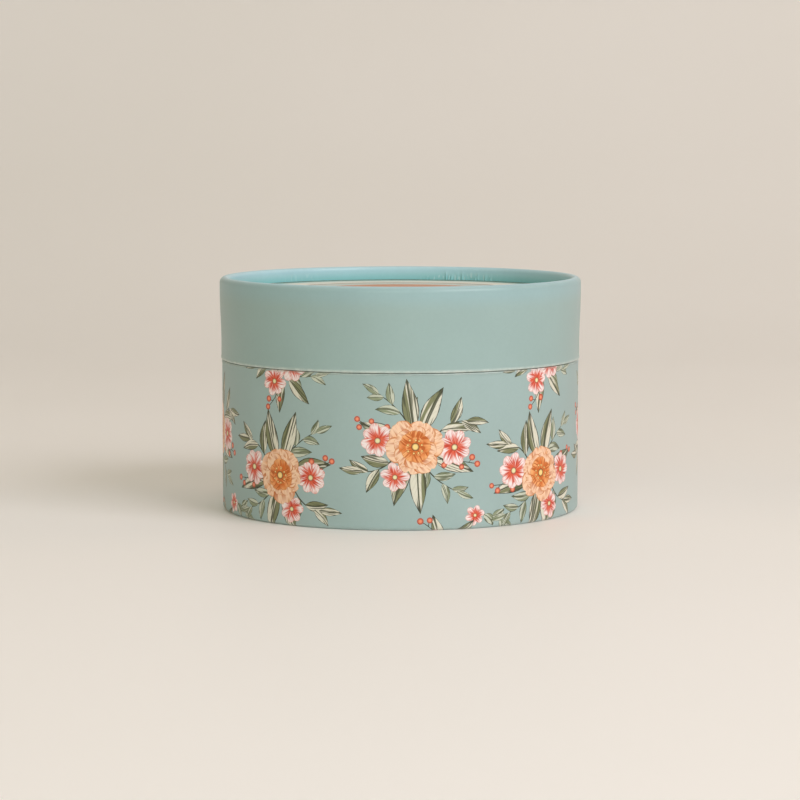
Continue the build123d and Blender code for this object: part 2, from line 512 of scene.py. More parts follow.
def addBerries(start, control, end, berries, draw):
    thin = flora["stemThin"]
    addStem(start, control, end, thin * 1.3, thin, draw.random())
    for berry in range(berries):
        t = (berry + 1) / berries
        point = curvePoint(start, control, end, t)
        way = curveWay(start, control, end, t)
        across = Vector((-way.y, way.x)) * (1 if berry % 2 else -1)
        tip = point
        if t < 1:
            tip = point + (across + way * 0.5) * flora["berryStalk"]
            addStem(point, (point + tip) / 2 + way * 0.2, tip, thin, thin * 0.8, 0.5, 3)
        addDisc("berry", tip, flora["berryRadius"] * draw.uniform(0.85, 1.1), math.atan2(way.y, way.x),
                draw.random(), 10)


# A spray is laid down at a place on the sheet, turned, and mirrored where flip is -1
def addSpray(kind, centre, turn, flip, draw):
    spray = sprays[kind]

    def put(x, y):
        y = y * flip
        return Vector((
            centre[0] + x * math.cos(turn) - y * math.sin(turn),
            centre[1] + x * math.sin(turn) + y * math.cos(turn),
        ))

    for start, control, end, *leaves in spray["branches"]:
        addBranch(put(*start), put(*control), put(*end), *leaves, draw)
    if "fan" in spray:
        addFan(put, *spray["fan"], turn, flip, draw)
    for start, control, end, count in spray.get("berries", ()):
        addBerries(put(*start), put(*control), put(*end), count, draw)
    for spot, radius, petals in spray["daisies"]:
        addDaisy(put(*spot), radius, petals, draw)
    if "bloom" in spray:
        addBloom(put(0, 0), spray["bloom"], turn, draw)


# Base paper, as a flat sheet in millimetres and as a roll in metres
baseSheet = {
    "width": math.tau * giftBox["baseRadius"] / mm,
    "repeats": 4,
    "frontShift": 4.0,
    "layout": (  # spray, across, up, turn, flip
        ("sprig", 21, 2.5, -0.3, 1),
        ("posy", 40.6, 41.5, 0.25, 1),
        ("posy", 8.5, -6.2, -0.1, -1),
        ("garland", 0, 22.5, 0.18, 1),
        ("garland", 39.3, 13.5, 2.8, -1),
    ),
    "seed": 20,
    "columns": 240,
    "wallRows": 8,
    "sameSpot": 0.0002,
    "nearEdge": 0.00025,
    "weldGap": 1e-8,
    "lap": 6.0,
    "lapEase": 6.0,
    "lapHeight": 0.14 * mm,
    "seamAngle": math.radians(66),
    "footRounding": 1.1 * mm,
    "arcSteps": 6,
    "innerRounding": 0.05 * mm,
    "innerArcSteps": 3,
    "turnIn": 8.0 * mm,
}


def paintArtwork():
    draw = random.Random(baseSheet["seed"])
    width, repeats = baseSheet["width"], baseSheet["repeats"]
    front = baseSheet["frontShift"] + width * (1.5 * math.pi - baseSheet["seamAngle"]) / math.tau
    for repeat in range(1 - repeats, repeats - 1):
        for kind, across, up, turn, flip in baseSheet["layout"]:
            addSpray(kind, (front + repeat * width / repeats + across, up), turn, flip, draw)


paintArtwork()
print("stage: artwork drawn,", len(artwork), "shapes")


# How far along the paper each point of an outline lies, in millimetres, counted like heights on the wall
def runOf(path):
    run = [0.0]
    for before, after in zip(path, path[1:]):
        run.append(run[-1] + math.dist(before[:2], after[:2]) / mm)
    wallStart = next(i for i, point in enumerate(path) if point[1] > 0 and point[2] > 0.999)
    zero = run[wallStart] - path[wallStart][1] / mm
    return [value - zero for value in run]


# The flat sheet cut into triangles, by columns, by rows and round every painted shape
def cutSheet(run, shapes):
    width, columns, low, high = baseSheet["width"], baseSheet["columns"], run[0], run[-1]
    rows = sorted({round(value, 5) for value in run[1:-1]})
    wallLow, wallHigh = max(zip(run, run[1:]), key=lambda pair: pair[1] - pair[0])
    wallRows = baseSheet["wallRows"]
    rows += [wallLow + (wallHigh - wallLow) * i / wallRows for i in range(1, wallRows)]
    points, edges, faces = [], [], []

    def addPoint(x, y):
        points.append(Vector((x, y)))
        return len(points) - 1

    for column in range(columns + 1):
        x = width * column / columns
        edges.append((addPoint(x, low), addPoint(x, high)))
    for y in (low, high, *rows):
        edges.append((addPoint(0, y), addPoint(width, y)))
    for shape in shapes:
        outline = shape["points"]
        faces.append([addPoint(point.x, point.y) for point in outline])
        for before, after in zip(outline, outline[1:] + outline[:1]):
            for cut in (0, width):
                if (before.x - cut) * (after.x - cut) < 0:
                    y = before.y + (after.y - before.y) * (cut - before.x) / (after.x - before.x)
                    if low < y < high:
                        addPoint(0, y)
                        addPoint(width, y)
    flat, _, pieces, _, _, sources = delaunay_2d_cdt(points, edges, faces, 0, baseSheet["sameSpot"])
    return flat, pieces, sources


# Where a spot of the flat sheet lies on the tube: radius, height and the way the paper faces there
def onTube(path, run, x, y):
    index = sum(value <= y for value in run[1:-1])
    share = (y - run[index]) / (run[index + 1] - run[index])
    radius, height, outward, upward = (a + (b - a) * share for a, b in zip(path[index], path[index + 1]))
    facing = math.hypot(outward, upward)
    outward, upward = outward / facing, upward / facing
    lapStart = baseSheet["width"] - baseSheet["lap"] - baseSheet["lapEase"]
    lift = baseSheet["lapHeight"] * smooth((x - lapStart) / baseSheet["lapEase"])
    return radius + lift * max(outward, 0.0) ** 2, height, outward, upward


# Triangles between two rows of points, each given as its place along the row and its vertex
def zipRows(triangles, first, second):
    i = j = 0
    while i < len(first) - 1 or j < len(second) - 1:
        if j == len(second) - 1 or (i < len(first) - 1 and first[i + 1][0] <= second[j + 1][0]):
            triangles.append([first[i][1], first[i + 1][1], second[j][1]])
            i += 1
        else:
            triangles.append([first[i][1], second[j + 1][1], second[j][1]])
            j += 1


# A printed sheet laid round a tube, closed by a plain inner face, with its ends lapped at the back
def rollSheet(name, path, innerPath, shapes):
    width, columns, near = baseSheet["width"], baseSheet["columns"], baseSheet["nearEdge"]
    run = runOf(path)
    low, high = run[0], run[-1]
    flat, pieces, sources = cutSheet(run, shapes)
    places, normals, triangles, prints, rolled = [], [], [], [], {}

    def addPlace(x, radius, height, outward, upward):
        angle = baseSheet["seamAngle"] + x / width * math.tau
        places.append((radius * math.cos(angle), radius * math.sin(angle), height))
        normals.append((outward * math.cos(angle), outward * math.sin(angle), upward))
        return len(places) - 1

    def vertexAt(index):
        if index not in rolled:
            x, y = min(max(flat[index][0], 0), width), min(max(flat[index][1], low), high)
            rolled[index] = addPlace(x, *onTube(path, run, x, y))
        return rolled[index]

    for piece, origins in zip(pieces, sources):
        spots = [flat[i] for i in piece]
        x, y = (sum(spot[axis] for spot in spots) / 3 for axis in (0, 1))
        if 0 < x < width and low < y < high:
            triangles.append([vertexAt(i) for i in piece])
            prints.append((max(origins, default=-1), spots))

    innerRows = []
    for radius, height, outward, upward in innerPath:
        row = [addPlace(width * i / columns, radius, height, -outward, -upward) for i in range(columns)]
        innerRows.append([*row, row[0]])
    for lower, upper in zip(innerRows, innerRows[1:]):
        for a, b, c, d in zip(lower, lower[1:], upper[1:], upper):
            triangles += [[a, c, b], [a, d, c]]
    facesEnd = len(triangles)

    # The cut edges, and the step at the lap
    for y, row, turned in ((low, innerRows[0], False), (high, innerRows[-1], True)):
        outer = sorted((flat[i][0], v) for i, v in rolled.items() if abs(flat[i][1] - y) < near)
        inner = [(width * i / columns, vertex) for i, vertex in enumerate(row)]
        zipRows(triangles, *((outer, inner) if turned else (inner, outer)))
    left, right = (
        sorted((flat[i][1], v) for i, v in rolled.items() if abs(flat[i][0] - x) < near) for x in (0, width)
    )
    zipRows(triangles, left, right)

    # Weld the two ends where nothing lifts them apart
    same = list(range(len(places)))
    for (_, one), (_, other) in zip(left, right):
        if math.dist(places[one], places[other]) < baseSheet["weldGap"]:
            same[other] = one
    kept = sorted(set(same))
    position = {vertex: number for number, vertex in enumerate(kept)}
    triangles = [[position[same[vertex]] for vertex in triangle] for triangle in triangles]
    triangles = [triangle for triangle in triangles if len(set(triangle)) == 3]
    mesh = bpy.data.meshes.new(name)
    mesh.from_pydata([places[vertex] for vertex in kept], [], triangles)
    printSheet(mesh, triangles, [normals[vertex] for vertex in kept], facesEnd, prints, shapes)
    piece = bpy.data.objects.new(name, mesh)
    bpy.context.collection.objects.link(piece)
    return piece


# What each corner shows: its ink with the shape's bend and seed, and its place along and across the shape
def printSheet(mesh, triangles, normals, facesEnd, prints, shapes):
    strokes, inkValues, cornerNormals = [], [], []
    for number, triangle in enumerate(triangles):
        source, spots = prints[number] if number < len(prints) else (-1, ())
        for corner, vertex in enumerate(triangle):
            cornerNormals.append(normals[vertex] if number < facesEnd else mesh.polygons[number].normal[:])
            if source < 0:
                strokes += (0.0, 0.0)
                inkValues += (0.0, 0.0, 0.0)
                continue
            shape = shapes[source]
            offset = Vector(spots[corner]) - shape["origin"]
            along, across = offset.dot(shape["way"]), offset.dot(shape["side"])
            strokes += (along / shape["length"], across / shape["width"])
            inkValues += (shape["ink"], shape["bend"], shape["seed"])
    mesh.uv_layers.new(name="stroke")
    mesh.attributes.new("ink", "FLOAT_VECTOR", "CORNER")
    mesh.uv_layers["stroke"].data.foreach_set("uv", strokes)
    mesh.attributes["ink"].data.foreach_set("vector", inkValues)
    mesh.polygons.foreach_set("use_smooth", [True] * len(mesh.polygons))
    mesh.normals_split_custom_set(cornerNormals)
    mesh.update()


# Base wrap: turned leg, foot, wall and the edge turned in at the seam
def makeBaseWrap():
    radius, paper, foot = giftBox["baseRadius"], giftBox["paper"], baseSheet["footRounding"]
    seam, legEnd = giftBox["seam"] - giftBox["seamGap"], giftBox["footRecess"]
    leg, turned = radius - giftBox["foldWidth"], giftBox["neckRadius"]
    turnedEnd = seam - baseSheet["turnIn"]
    edge, turnRounding = giftBox["edgeRounding"], giftBox["turnRounding"]
    swell, swellHeight = giftBox["swellRounding"], giftBox["swellHeight"]
    swollen = radius + giftBox["edgeSwell"]
    corners = [(leg, legEnd), (leg, 0), (radius, 0), (radius, seam - 2 * swellHeight),
               (swollen, seam - swellHeight), (swollen, seam), (turned, seam), (turned, turnedEnd)]
    inner = [(leg + paper, legEnd), (leg + paper, paper), (radius - paper, paper),
             (radius - paper, seam - paper), (turned + paper, seam - paper), (turned + paper, turnedEnd)]
    path = roundedPath(corners, [foot, foot, swell, swell, edge, turnRounding], baseSheet["arcSteps"])
    innerPath = roundedPath(inner, [foot - paper, foot - paper, edge - paper, baseSheet["innerRounding"]],
                            baseSheet["innerArcSteps"])
    wrap = rollSheet("baseWrap", path, innerPath, artwork)
    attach(wrap, "base")
    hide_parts("base_wrap")
    return wrap


baseWrap = makeBaseWrap()
print("stage: base wrap rolled,", len(baseWrap.data.polygons), "triangles")

# Paper materials: fibres, and a slight unevenness of the satin finish
paperFinish = {
    "roughness": 0.43,
    "unevenness": 0.36,
    "specular": 0.45,
    "bumpStrength": 0.16,
    "bumpDistance": 0.03 * mm,
}


def startMaterial(name):
    material = bpy.data.materials.new(name)
    material.use_nodes = True
    tree = material.node_tree
    place = addNode(tree, "ShaderNodeTexCoord").outputs["Object"]
    return material, tree, tree.nodes["Principled BSDF"], place


def finishPaper(tree, shader, place, colour, grainAmount, roughness=paperFinish["roughness"]):
    grain = useGroup(tree, paperGrain, Place=place, Amount=grainAmount, Roughness=roughness,
                     Unevenness=paperFinish["unevenness"])
    toned = addNode(tree, "ShaderNodeHueSaturation", {"Value": grain["Brightness"], "Color": colour})
    bump = addNode(tree, "ShaderNodeBump", {
        "Strength": paperFinish["bumpStrength"],
        "Distance": paperFinish["bumpDistance"],
        "Height": grain["Height"],
    })
    feedAll(tree, shader, {
        "Base Color": toned.outputs[0],
        "Roughness": grain["Roughness"],
        "Specular IOR Level": paperFinish["specular"],
        "Normal": bump.outputs[0],
    })


def wearAndHighlightAt(tree, place, level, width, amount):
    return useGroup(tree, rubbedEdgeAndHighlight, Place=place, Level=level, Width=width, Amount=amount)["Mask"]


# Pale core colour: where the print is rubbed, and along the seam a painted highlight
paleCoreAndHighlight = paint(226, 232, 226)  # shows where the print is rubbed
printGround = {
    "colour": paint(157, 180, 180),
    "grain": 0.22,
    "footWear": (1.0 * mm, 0.35),  # width, amount
    # Pale seam edge: partly wear, partly a painted highlight
    "seamWearAndHighlight": (0.7 * mm, 0.6),
}
stemPaints = (paint(40, 42, 30), paint(72, 76, 54))
bloomLines = {"Stroke": paint(190, 92, 28), "Edge": paint(204, 122, 58)}
petalPaints = {
    "bloom": {"Reach": 0.72, "Tip": paint(244, 208, 178), "Heart": paint(234, 150, 62), **bloomLines},
    "core": {"Reach": 1.05, "Tip": paint(242, 178, 116), "Heart": paint(214, 108, 34), **bloomLines},
    "daisy": {"Reach": 0.74, "Tip": paint(244, 232, 233), "Heart": paint(220, 92, 62),
              "Stroke": paint(200, 66, 44), "Edge": paint(216, 124, 108)},
}
leafPaints = {
    "leaf": {"Light": paint(220, 218, 203), "Shade": paint(124, 128, 94), "Vein": stemPaints[1],
             "Edge": stemPaints[0]},
    "greenery": {"Light": paint(198, 204, 188), "Shade": paint(138, 148, 120), "Vein": paint(90, 98, 72),
                 "Edge": paint(62, 68, 50)},
}
discPaints = {  # middle, rim, and where one turns to the other
    "heart": (paint(246, 216, 140), paint(128, 66, 24), 0.45, 0.9),
    "eye": (paint(232, 226, 176), paint(150, 56, 40), 0.4, 0.95),
    "berry": (paint(238, 146, 112), paint(176, 62, 44), 0.2, 0.95),
}


def makePrintedMint():
    material, tree, shader, place = startMaterial("printedMintPaper")
    ink = addNode(tree, "ShaderNodeAttribute", attribute_name="ink").outputs["Vector"]
    kind, bend, seed = separate(tree, ink)
    along, across, _ = separate(tree, addNode(tree, "ShaderNodeUVMap", uv_map="stroke").outputs[0])
    arch = times(tree, along, minus(tree, 1.0, along), 4.0)
    brush = {"Along": along, "Across": minus(tree, across, times(tree, arch, bend)), "Seed": seed}
    layers = {"stem": blendColour(tree, noiseOf(tree, place, 700.0), *stemPaints)}
    for name, paints in petalPaints.items():
        fullness, bluntness = outlines[name]
        petal = useGroup(tree, petalInk, Fullness=fullness, Bluntness=bluntness, **brush, **paints)
        layers[name] = petal["Colour"]
    for name, paints in leafPaints.items():
        layers[name] = useGroup(tree, leafInk, **brush, **paints)["Colour"]
    reach = reachOf(tree, along, across)
    for name, (middle, rim, low, high) in discPaints.items():
        layers[name] = blendColour(tree, ramp(tree, reach, low, high), middle, rim)
    colour = printGround["colour"]
    for name, layer in layers.items():
        colour = blendColour(tree, maths(tree, "COMPARE", kind, float(inks[name]), 0.4), colour, layer)
    # Rubbed pale edge at the foot, and at the seam a pale edge that is partly wear and partly a painted
    # highlight
    wearAndHighlight = maths(tree, "MAXIMUM", wearAndHighlightAt(tree, place, 0.0, *printGround["footWear"]),
                 wearAndHighlightAt(tree, place, giftBox["seam"], *printGround["seamWearAndHighlight"]))
    finishPaper(tree, shader, place, blendColour(tree, wearAndHighlight, colour, paleCoreAndHighlight), printGround["grain"])
    return material


# Lid wrap: turned in at the seam, flared under the rim, rolled over it and crimped inside
lidSheet = {
    "columns": 720,
    "arcSteps": 7,
    "legRows": 6,
    "crestOuter": 1.55 * mm,
    "crestInner": 1.0 * mm,
    "flareRounding": 90 * mm,
    "legGap": 0.14 * mm,
    "crimpDepth": 0.42 * mm,
    "crimpTop": 1.5 * mm,
    "crimpStart": (0.9 * mm, 2.6 * mm),
    "crimpShare": 0.75,
    "crimpBase": 0.12,
    "crimpPatches": (  # middle and spread in degrees, amount
        (68, 17, 1.0),
        (128, 9, 0.35),
        (205, 14, 0.7),
        (301, 18, 0.85),
    ),
    "lapAngle": math.radians(118),
    "lapWidth": 5.0 * mm,
    "lapHeight": 0.16 * mm,
    "lapEnd": 0.8 * mm,
    "seed": 7,
}
lidPrint = {
    "wall": paint(153, 178, 177),
    # Near the crest the wall is painted a paler, bluer tint: painted sheen
    "rimSheenTint": paint(152, 182, 186),
    "rimSheenBand": (7.0 * mm, 2.0 * mm),  # below the crest
    # Turned-over leg inside the rim: painted light and shade, darker at its foot in the recess and paler and
    # bluer towards the crest
    "legShadedFoot": paint(135, 193, 198),
    "legLitTop": paint(171, 209, 222),
    "legTopBelow": 0.6 * mm,
    "legBand": (1.0 * mm, 2.5 * mm),  # out from the turned leg
    "legFade": 1.0 * mm,
    # Pale streaks on the crimps inside the rim: painted highlights
    "creaseHighlight": paint(192, 220, 226),
    "creaseNoise": (62.0, 1.0),  # scale, detail
    "creaseStretch": 6.0,
    "creaseEdge": (0.58, 0.66),
    "creaseEnds": (21.0, 1.0),  # scale, detail
    "creaseHeight": 3.2 * mm,
    "creaseFade": 1.0 * mm,
    "creaseStrength": 0.6,
    "grain": 0.2,
    "roughness": 0.35,
    "crestWear": (0.9 * mm, 0.12),  # width, amount
    # Pale seam edge: partly wear, partly a painted highlight
    "seamWearAndHighlight": (1.0 * mm, 0.95),
}


def makePlainMint():
    material, tree, shader, place = startMaterial("plainMintPaper")
    tint, crest, recess = lidPrint, giftBox["crest"], giftBox["rimRecess"]
    x, y, height = separate(tree, place)
    reach = reachOf(tree, x, y)
    leg = giftBox["rimRadius"] - giftBox["foldWidth"]
    legStart, legEnd = (leg + out for out in tint["legBand"])
    turnedOver = times(tree, ramp(tree, reach, legStart, legEnd, 1.0, 0.0),
                       ramp(tree, height, recess - tint["legFade"], recess))
    # The turned-over leg is painted lighter and bluer towards the crest and darker at its foot: painted light
    # and shade in the recess
    legShadeRamp = ramp(tree, height, recess, crest - tint["legTopBelow"])
    legLightAndShade = blendColour(tree, legShadeRamp, tint["legShadedFoot"], tint["legLitTop"])
    # Painted sheen: the wall turns paler and bluer towards the crest
    upper = ramp(tree, height, *(crest - below for below in tint["rimSheenBand"]))
    wallColour = blendColour(tree, upper, tint["wall"], tint["rimSheenTint"])
    colour = blendColour(tree, turnedOver, wallColour, legLightAndShade)

    # Painted highlights along the creases inside the rim, in the same patches as the crimps
    span = maths(tree, "MAXIMUM", reach, 1.0 * mm)
    eastward, northward = (maths(tree, "DIVIDE", part, span) for part in (x, y))
    patches = 0.0
    for middle, spread, amount in lidSheet["crimpPatches"]:
        angle, rim, core = math.radians(middle), math.radians(spread), math.radians(spread / 3)
        facing = plus(tree, times(tree, eastward, math.cos(angle)), times(tree, northward, math.sin(angle)))
        patch = ramp(tree, facing, math.cos(rim), math.cos(core), 0.0, amount)
        patches = maths(tree, "MAXIMUM", patch, patches)
    stretched = combine(tree, eastward, northward, times(tree, height, tint["creaseStretch"]))
    creases = ramp(tree, noiseOf(tree, stretched, *tint["creaseNoise"]), *tint["creaseEdge"])
    ends = noiseOf(tree, combine(tree, eastward, northward, 3.0), *tint["creaseEnds"])
    above = minus(tree, height, maths(tree, "MULTIPLY_ADD", ends, tint["creaseHeight"], recess))
    creases = times(tree, creases, ramp(tree, above, 0.0, tint["creaseFade"], 1.0, 0.0), patches,
                    times(tree, turnedOver, tint["creaseStrength"]))
    colour = blendColour(tree, creases, colour, tint["creaseHighlight"])
    # Rubbed pale edge at the crest, and at the seam a pale edge that is partly wear and partly a painted
    # highlight
    wearAndHighlight = maths(tree, "MAXIMUM", wearAndHighlightAt(tree, place, crest, *tint["crestWear"]),
                 wearAndHighlightAt(tree, place, giftBox["seam"], *tint["seamWearAndHighlight"]))
    finishPaper(tree, shader, place, blendColour(tree, wearAndHighlight, colour, paleCoreAndHighlight), tint["grain"],
                tint["roughness"])
    return material


labelInk = {
    "middle": paint(200, 138, 104),
    "rings": (  # where each starts, from the middle out
        (26.5 * mm, paint(194, 204, 198)),
        (34.2 * mm, paint(140, 112, 100)),
        (35.6 * mm, paint(230, 228, 218)),
        (44.6 * mm, paint(140, 180, 174)),
    ),
    "blur": 0.05 * mm,
    "grain": 0.2,
}


def makeLabelPrint():
    material, tree, shader, place = startMaterial("labelPrint")
    x, y, _ = separate(tree, place)
    reach = reachOf(tree, x, y)
    colour, blur = labelInk["middle"], labelInk["blur"]
    for start, ring in labelInk["rings"]:
        colour = blendColour(tree, ramp(tree, reach, start - blur, start + blur), colour, ring)
    finishPaper(tree, shader, place, colour, labelInk["grain"])
    return material


insidePaper = {"cream": paint(240, 236, 226), "speck": paint(196, 182, 160), "grain": 0.16, "specular": 0.3}
boardPulp = {
    "dark": paint(150, 142, 130),
    "light": paint(184, 176, 162),
    "fleck": paint(96, 88, 80),
    "grain": 0.3,
}


def makeCreamPaper():
    material, tree, shader, place = startMaterial("creamInsidePaper")
    speck = times(tree, ramp(tree, noiseOf(tree, place, 1500.0), 0.68, 0.76), 0.25)
    colour = blendColour(tree, speck, insidePaper["cream"], insidePaper["speck"])
    finishPaper(tree, shader, place, colour, insidePaper["grain"])
    shader.inputs["Specular IOR Level"].default_value = insidePaper["specular"]
    return material


def makeGreyBoard():
    material, tree, shader, place = startMaterial("greyBoard")
    pulp = ramp(tree, noiseOf(tree, place, 1100.0, 5.0, 0.75), 0.35, 0.7)
    flecks = ramp(tree, noiseOf(tree, place, 2400.0), 0.66, 0.72)
    colour = blendColour(tree, pulp, boardPulp["dark"], boardPulp["light"])
    colour = blendColour(tree, flecks, colour, boardPulp["fleck"])
    finishPaper(tree, shader, place, colour, boardPulp["grain"])
    return material


baseWrap.data.materials.append(makePrintedMint())
plainMint = makePlainMint()
labelPrint = makeLabelPrint()
creamPaper = makeCreamPaper()
greyBoard = makeGreyBoard()
print("stage: materials made")


def withoutRepeats(outline, gap=0.001 * mm):
    return [point for index, point in enumerate(outline) if math.dist(point, outline[index - 1]) > gap]


# A closed outline, out along the outer corners with the last run cut up, and back along the inner ones
def outlineOf(outer, outerRoundings, inner, innerRoundings, arcSteps, lastCuts=1):
    there = [point[:2] for point in roundedPath(outer, outerRoundings, arcSteps)]
    start, end = Vector(there[-2]), Vector(there[-1])
    there[-1:] = [tuple(start.lerp(end, cut / lastCuts)) for cut in range(1, lastCuts + 1)]
    back = [point[:2] for point in roundedPath(inner, innerRoundings, arcSteps)]
    return withoutRepeats(there + back[::-1])


# Spinning numbers the faces in another order at each run, so they are put into one order
def settleFaces(mesh):
    places = [vertex.co.copy() for vertex in mesh.vertices]
    faces = []
    for polygon in mesh.polygons:
        corners = list(polygon.vertices)
        first = corners.index(min(corners))
        faces.append(corners[first:] + corners[:first])
    mesh.clear_geometry()
    mesh.from_pydata(places, [], sorted(faces))


# A closed outline spun round the axis in eight equal turns, as on a lathe
def spinOutline(name, outline, columns, sectors=8):
    bpy.ops.object.select_all(action="DESELECT")
    bpy.ops.mesh.primitive_circle_add(vertices=len(outline), radius=giftBox["baseRadius"], location=(0, 0, 0))
    piece = bpy.context.object
    piece.name = piece.data.name = name
    for vertex, (radius, height) in zip(piece.data.vertices, outline):
        vertex.co = (radius, 0, height)
    bpy.ops.object.mode_set(mode="EDIT")
    bpy.ops.mesh.select_all(action="SELECT")
    bpy.ops.mesh.spin(steps=columns // sectors, angle=math.tau / sectors, center=(0, 0, 0), axis=(0, 0, 1))
    bpy.ops.mesh.select_all(action="SELECT")
    bpy.ops.mesh.spin(steps=sectors, angle=math.tau, dupli=True, center=(0, 0, 0), axis=(0, 0, 1))
    bpy.ops.mesh.select_all(action="SELECT")
    bpy.ops.mesh.remove_doubles(threshold=0.002 * mm)
    bpy.ops.mesh.normals_make_consistent(inside=False)
    bpy.ops.object.mode_set(mode="OBJECT")
    settleFaces(piece.data)
    return piece


def evenShading(piece, sharpAngle=35):
    bpy.ops.object.select_all(action="DESELECT")
    piece.select_set(True)
    bpy.context.view_layer.objects.active = piece
    bpy.ops.object.shade_smooth_by_angle(angle=math.radians(sharpAngle))
    bpy.ops.object.modifier_add(type="WEIGHTED_NORMAL")
    piece.modifiers[-1].keep_sharp = True
    piece.modifiers[-1].weight = 80
    bpy.ops.object.modifier_apply(modifier=piece.modifiers[-1].name)


# The sheet's end laps over its start: a step on one side, eased away on the other
def lapSheet(piece, paper, low, high, innermost, fade=0.5 * mm):
    column, lapAngle, lapWidth = math.tau / paper["columns"], paper["lapAngle"], paper["lapWidth"]
    for vertex in piece.data.vertices:
        x, y, z = vertex.co
        radius = math.hypot(x, y)
        if not (low <= z <= high and radius > innermost):
            continue
        turn = (math.atan2(y, x) - lapAngle + column / 4) % math.tau - column / 4
        if turn > math.tau - 1.5 * column:  # the column under the step is drawn up to it
            drawn = lapAngle - 0.12 * column
            x, y = radius * math.cos(drawn), radius * math.sin(drawn)
            turn = math.tau
        lift = paper["lapHeight"] * smooth(2 - abs(turn) * radius / lapWidth)
        edge = min((z - low) / fade, (high - z) / fade, 1)
        scale = 1 + lift * edge / radius
        vertex.co.x, vertex.co.y = x * scale, y * scale


def crimpRim(piece, leg):
    draw = random.Random(lidSheet["seed"])
    columns = lidSheet["columns"]
    creases = []
    for column in range(columns):
        degrees = 360 * column / columns
        strength = max(amount * (1 - ((degrees - middle) / spread) ** 2)
                       for middle, spread, amount in lidSheet["crimpPatches"])
        depth = lidSheet["crimpDepth"] * max(strength, lidSheet["crimpBase"])
        deep = draw.uniform(0.1, 1) if draw.random() < lidSheet["crimpShare"] and column % 2 else 0.0
        creases.append((depth * deep, draw.uniform(*lidSheet["crimpStart"])))
    for vertex in piece.data.vertices:
        x, y, z = vertex.co
        radius = math.hypot(x, y)
        if radius > leg + giftBox["paper"] / 2 or z < giftBox["rimRecess"]:
            continue
        depth, start = creases[round(math.atan2(y, x) / math.tau * columns) % columns]
        fade = min(max((giftBox["crest"] - start - z) / lidSheet["crimpTop"], 0), 1)
        scale = 1 - depth * fade / radius
        vertex.co.x, vertex.co.y = x * scale, y * scale


def makeLidWrap():
    crest, paper, rim = giftBox["crest"], giftBox["paper"], giftBox["rimRadius"]
    low, high, seam = giftBox["flareLow"], giftBox["flareHigh"], giftBox["seam"] + giftBox["seamGap"]
    wall, leg = rim - giftBox["rimFlare"], rim - giftBox["foldWidth"]
    turned, legEnd = giftBox["neckRadius"] + paper, giftBox["rimRecess"] + lidSheet["legGap"]
    swollen, swellHeight = wall + giftBox["edgeSwell"], giftBox["swellHeight"]
    swell, edge, flare = giftBox["swellRounding"], giftBox["edgeRounding"], lidSheet["flareRounding"]
    out, into = lidSheet["crestOuter"], lidSheet["crestInner"]
    outer = [(turned, low), (turned, seam), (swollen, seam), (swollen, seam + swellHeight),
             (wall, seam + 2 * swellHeight), (wall, low), (rim, high), (rim, crest),
             (leg, crest), (leg, legEnd)]
    inner = [(turned + paper, low), (turned + paper, seam + paper), (wall - paper, seam + paper),
             (wall - paper, low), (rim - paper, high), (rim - paper, crest - paper),
             (leg + paper, crest - paper), (leg + paper, legEnd)]
    outline = outlineOf(
        outer, [giftBox["turnRounding"], edge, swell, swell, flare, flare, out, into],
        inner, [0.0, edge - paper, flare, flare, out - paper, into - paper],
        lidSheet["arcSteps"], lidSheet["legRows"])
    lidWrap = spinOutline("lidWrap", outline, lidSheet["columns"])
    crimpRim(lidWrap, leg)
    lapSheet(lidWrap, lidSheet, seam, crest - lidSheet["lapEnd"], wall - paper / 2)
    evenShading(lidWrap)
    lidWrap.data.materials.append(plainMint)
    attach(lidWrap, "lid")
    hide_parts("lid_wrap")
    return lidWrap


lidWrap = makeLidWrap()
print("stage: lid wrap spun,", len(lidWrap.data.polygons), "faces")

# Neck paper: round the neck tube, over its top edge and down its inside
neckSheet = {
    "columns": 360,
    "arcSteps": 6,
    "depth": 1.4 * mm,  # from its outer face to its inner one, over the board
    "lapAngle": math.radians(80),
    "lapWidth": 5.0 * mm,
    "lapHeight": 0.12 * mm,
}


def makeNeckPaper():
    radius, top, floor, paper = giftBox["neckRadius"], giftBox["neckTop"], giftBox["floor"], giftBox["paper"]
    inside, rounding = radius - neckSheet["depth"], giftBox["edgeRounding"]
    outline = outlineOf(
        [(radius, floor), (radius, top), (inside, top), (inside, floor)], [rounding] * 2,
        [(radius - paper, floor), (radius - paper, top - paper), (inside + paper, top - paper),
         (inside + paper, floor)], [rounding - paper] * 2, neckSheet["arcSteps"])
    neckPaper = spinOutline("neckPaper", outline, neckSheet["columns"])
    lapSheet(neckPaper, neckSheet, giftBox["seam"], top - rounding, radius - paper / 2)
    evenShading(neckPaper)
    neckPaper.data.materials.append(creamPaper)
    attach(neckPaper, "base")
    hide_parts("neck_paper")


# Lid lining: a ring of two papers with rounded edges, from the turned-in wrap up to the ceiling
liningSheet = {"columns": 360, "edgeRounding": 0.12 * mm, "arcSteps": 4}


def makeLidLining():
    low, high = giftBox["flareLow"], giftBox["ceiling"]
    inner = giftBox["neckRadius"] + giftBox["paper"]
    outer, rounding = inner + 2 * giftBox["paper"], liningSheet["edgeRounding"]
    corners = [(outer, high), (inner, high), (inner, low), (outer, low), (outer, high)]
    path = roundedPath(corners, [0.0, rounding, rounding], liningSheet["arcSteps"])
    outline = withoutRepeats([point[:2] for point in path])
    lidLining = spinOutline("lidLining", outline, liningSheet["columns"])
    evenShading(lidLining)
    lidLining.data.materials.append(creamPaper)
    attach(lidLining, "lid")
    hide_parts("lid_lining")


makeNeckPaper()
makeLidLining()
print("stage: neck and lining papers spun")

